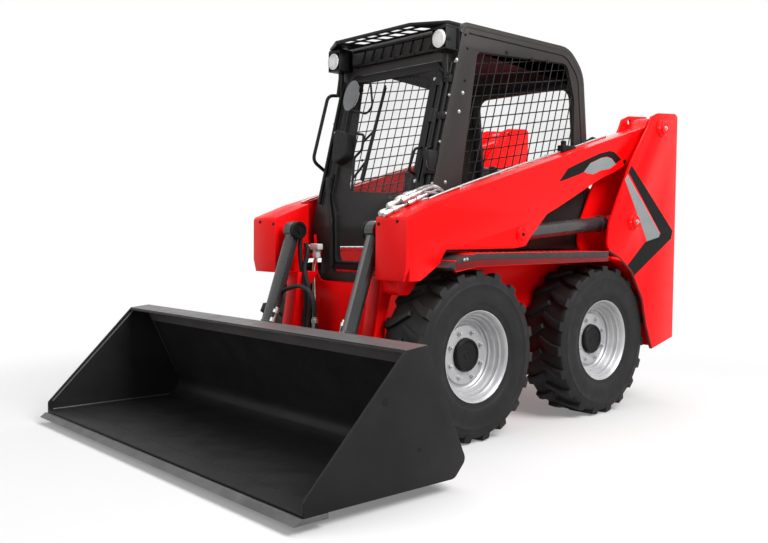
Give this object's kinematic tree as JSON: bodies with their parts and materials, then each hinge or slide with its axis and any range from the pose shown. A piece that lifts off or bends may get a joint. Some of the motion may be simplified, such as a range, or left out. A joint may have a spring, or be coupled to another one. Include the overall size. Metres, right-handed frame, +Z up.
{
  "type": "skid steer loader",
  "caption": "Compact four-wheeled loader with side lift arms, an enclosed cab and a wide tipping bucket.",
  "frame": {"origin": "on the ground, at the bottom centre of the machine's box with its arms down", "axes": "+Z up, +Y towards the machine's rear, +X towards the operator's left"},
  "size_m": [2.07, 2.963, 1.908],
  "materials": {
    "red_paint": "glossy enamel",
    "black_paint": "satin enamel",
    "bucket_paint": "satin enamel",
    "tyre_rubber": "matt",
    "rim_paint": "silver enamel",
    "rod_chrome": "polished",
    "window_glass": "clear",
    "lamp_lens": "clear ribbed",
    "seat_vinyl": "grained",
    "cab_plastic": "textured",
    "engine_iron": "painted"
  },
  "bodies": {
    "chassis": {"chassis_frame": "red_paint", "tower_left": "red_paint", "tower_right": "red_paint", "fender_left": "red_paint", "fender_right": "red_paint", "engine_block": "engine_iron", "rear_bumper": "black_paint", "cab_frame": "black_paint", "roof_visor": "black_paint", "side_screen_left": "black_paint", "side_screen_right": "black_paint", "rear_window": "window_glass", "work_light_left": "lamp_lens", "work_light_right": "lamp_lens", "seat_base": "cab_plastic", "seat_cushion": "seat_vinyl", "seat_back": "seat_vinyl", "console_left": "cab_plastic", "console_right": "cab_plastic", "lap_bar": "black_paint"},
    "lift_arms": {"lift_arm_left": "red_paint", "lift_arm_right": "red_paint", "arm_cross_tube": "red_paint"},
    "bucket": {"coupler_plate": "black_paint", "bucket_shell": "bucket_paint", "cutting_edge": "bucket_paint"},
    "front_door": {"front_door_frame": "black_paint", "front_door_glass": "window_glass"},
    "rear_door": {"rear_door": "black_paint"},
    "hood": {"hood": "red_paint"},
    "wheel_front_left": {"rim_front_left": "rim_paint", "tyre_front_left": "tyre_rubber"},
    "wheel_front_right": {"rim_front_right": "rim_paint", "tyre_front_right": "tyre_rubber"},
    "wheel_rear_left": {"rim_rear_left": "rim_paint", "tyre_rear_left": "tyre_rubber"},
    "wheel_rear_right": {"rim_rear_right": "rim_paint", "tyre_rear_right": "tyre_rubber"},
    "lift_barrel_left": {"lift_barrel_left": "black_paint"},
    "lift_rod_left": {"lift_rod_left": "rod_chrome"},
    "lift_barrel_right": {"lift_barrel_right": "black_paint"},
    "lift_rod_right": {"lift_rod_right": "rod_chrome"},
    "tilt_barrel_left": {"tilt_barrel_left": "black_paint"},
    "tilt_rod_left": {"tilt_rod_left": "rod_chrome"},
    "tilt_barrel_right": {"tilt_barrel_right": "black_paint"},
    "tilt_rod_right": {"tilt_rod_right": "rod_chrome"}
  },
  "joints": [
    {"name": "wheel_front_left_spin", "type": "hinge", "parent": "chassis", "child": "wheel_front_left", "pos_m": [0.478, -0.1485, 0.388], "axis": [1, 0, 0], "continuous": true},
    {"name": "wheel_front_right_spin", "type": "hinge", "parent": "chassis", "child": "wheel_front_right", "pos_m": [-0.478, -0.1485, 0.388], "axis": [1, 0, 0], "continuous": true},
    {"name": "wheel_rear_left_spin", "type": "hinge", "parent": "chassis", "child": "wheel_rear_left", "pos_m": [0.478, 0.8235, 0.388], "axis": [1, 0, 0], "continuous": true},
    {"name": "wheel_rear_right_spin", "type": "hinge", "parent": "chassis", "child": "wheel_rear_right", "pos_m": [-0.478, 0.8235, 0.388], "axis": [1, 0, 0], "continuous": true},
    {"name": "arm_lift", "type": "hinge", "parent": "chassis", "child": "lift_arms", "pos_m": [0, 1.2915, 1.52], "axis": [-1, 0, 0], "range_deg": [0, 68]},
    {"name": "bucket_tilt", "type": "hinge", "parent": "lift_arms", "child": "bucket", "pos_m": [0, -0.6435, 0.19], "axis": [1, 0, 0], "range_deg": [-27, 108]},
    {"name": "lift_barrel_left_pivot", "type": "hinge", "parent": "lift_arms", "child": "lift_barrel_left", "pos_m": [0.5085, 0.1715, 0.935], "axis": [1, 0, 0], "range_deg": [-1, 4]},
    {"name": "lift_rod_left_slide", "type": "slide", "parent": "lift_barrel_left", "child": "lift_rod_left", "axis": [0, 0.9966, 0.0827], "range_m": [-0.005, 0.66]},
    {"name": "tilt_barrel_left_pivot", "type": "hinge", "parent": "lift_arms", "child": "tilt_barrel_left", "pos_m": [0.303, -0.5085, 0.944], "axis": [1, 0, 0], "range_deg": [-2, 1]},
    {"name": "tilt_rod_left_slide", "type": "slide", "parent": "tilt_barrel_left", "child": "tilt_rod_left", "axis": [0, -0.3148, -0.9491], "range_m": [-0.07, 0.265]},
    {"name": "lift_barrel_right_pivot", "type": "hinge", "parent": "lift_arms", "child": "lift_barrel_right", "pos_m": [-0.5085, 0.1715, 0.935], "axis": [1, 0, 0], "range_deg": [-1, 4]},
    {"name": "lift_rod_right_slide", "type": "slide", "parent": "lift_barrel_right", "child": "lift_rod_right", "axis": [0, 0.9966, 0.0827], "range_m": [-0.005, 0.66]},
    {"name": "tilt_barrel_right_pivot", "type": "hinge", "parent": "lift_arms", "child": "tilt_barrel_right", "pos_m": [-0.303, -0.5085, 0.944], "axis": [1, 0, 0], "range_deg": [-2, 1]},
    {"name": "tilt_rod_right_slide", "type": "slide", "parent": "tilt_barrel_right", "child": "tilt_rod_right", "axis": [0, -0.3148, -0.9491], "range_m": [-0.07, 0.265]},
    {"name": "front_door_hinge", "type": "hinge", "parent": "chassis", "child": "front_door", "pos_m": [0.333, -0.3295, 0.965], "axis": [0, 0.246, 0.9693], "range_deg": [0, 55]},
    {"name": "rear_door_hinge", "type": "hinge", "parent": "chassis", "child": "rear_door", "pos_m": [0.404, 1.4705, 0.7], "axis": [0, 0, -1], "range_deg": [0, 100]},
    {"name": "hood_hinge", "type": "hinge", "parent": "chassis", "child": "hood", "pos_m": [0, 0.9865, 1.19], "axis": [1, 0, 0], "range_deg": [0, 55]}
  ],
  "couplings": [
    {"joint": "lift_barrel_left_pivot", "follows": "arm_lift", "ratio": 0.0131},
    {"joint": "lift_rod_left_slide", "follows": "arm_lift", "m_per_rad": 0.5443},
    {"joint": "tilt_barrel_left_pivot", "follows": "bucket_tilt", "ratio": -0.012},
    {"joint": "tilt_rod_left_slide", "follows": "bucket_tilt", "m_per_rad": 0.1363},
    {"joint": "lift_barrel_right_pivot", "follows": "arm_lift", "ratio": 0.0131},
    {"joint": "lift_rod_right_slide", "follows": "arm_lift", "m_per_rad": 0.5443},
    {"joint": "tilt_barrel_right_pivot", "follows": "bucket_tilt", "ratio": -0.012},
    {"joint": "tilt_rod_right_slide", "follows": "bucket_tilt", "m_per_rad": 0.1363}
  ]
}
